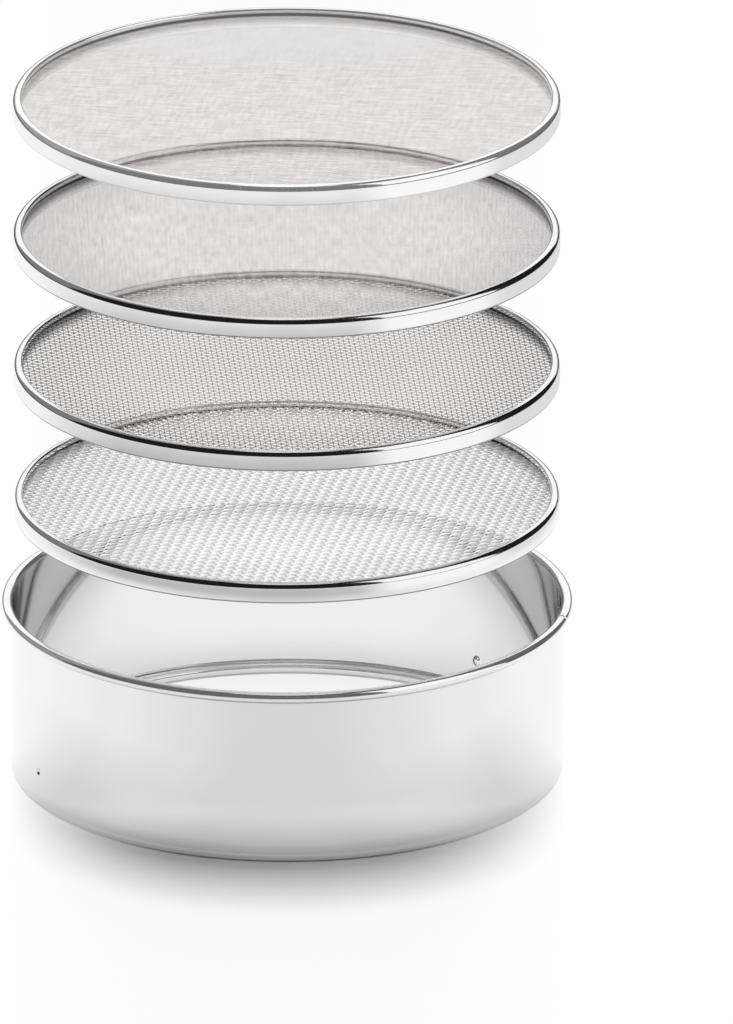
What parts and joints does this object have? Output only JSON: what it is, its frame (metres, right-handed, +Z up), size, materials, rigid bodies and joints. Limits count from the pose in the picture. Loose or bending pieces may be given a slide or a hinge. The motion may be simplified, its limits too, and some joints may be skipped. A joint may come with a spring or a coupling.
{
  "type": "flour sieve set",
  "caption": "Deep open steel hoop with a rolled rim and an inner foot ledge, and interchangeable round wire-mesh discs that drop into it for sieving flour.",
  "frame": {"origin": "middle of the hoop's foot, on the surface that the hoop stands on", "axes": "+Z up along the hoop's axis, the way the discs lift out; -Y towards the viewer of the picture"},
  "size_m": [0.22, 0.22, 0.2738],
  "materials": {
    "hoop_steel": "mirror-polished stainless steel sheet",
    "rim_wire_steel": "plain drawn wire",
    "ring_steel": "polished folded stainless strip",
    "coarse_wire": "coarse woven stainless wire cloth",
    "medium_wire": "medium woven stainless wire cloth",
    "fine_wire": "fine woven stainless wire cloth",
    "extra_fine_wire": "extra fine woven stainless wire cloth"
  },
  "bodies": {
    "hoop": {"hoop_band": "hoop_steel", "rim_wire": "rim_wire_steel"},
    "coarse_disc": {"coarse_ring": "ring_steel", "coarse_mesh": "coarse_wire"},
    "medium_disc": {"medium_ring": "ring_steel", "medium_mesh": "medium_wire"},
    "fine_disc": {"fine_ring": "ring_steel", "fine_mesh": "fine_wire"},
    "extra_fine_disc": {"extra_fine_ring": "ring_steel", "extra_fine_mesh": "extra_fine_wire"}
  },
  "joints": [
    {"name": "coarse_disc_lift", "type": "slide", "parent": "hoop", "child": "coarse_disc", "axis": [0, 0, 1], "range_m": [-0.1003, 0]},
    {"name": "medium_disc_lift", "type": "slide", "parent": "coarse_disc", "child": "medium_disc", "axis": [0, 0, 1], "range_m": [-0.0453, 0]},
    {"name": "fine_disc_lift", "type": "slide", "parent": "medium_disc", "child": "fine_disc", "axis": [0, 0, 1], "range_m": [-0.0453, 0]},
    {"name": "extra_fine_disc_lift", "type": "slide", "parent": "fine_disc", "child": "extra_fine_disc", "axis": [0, 0, 1], "range_m": [-0.0453, 0]}
  ]
}
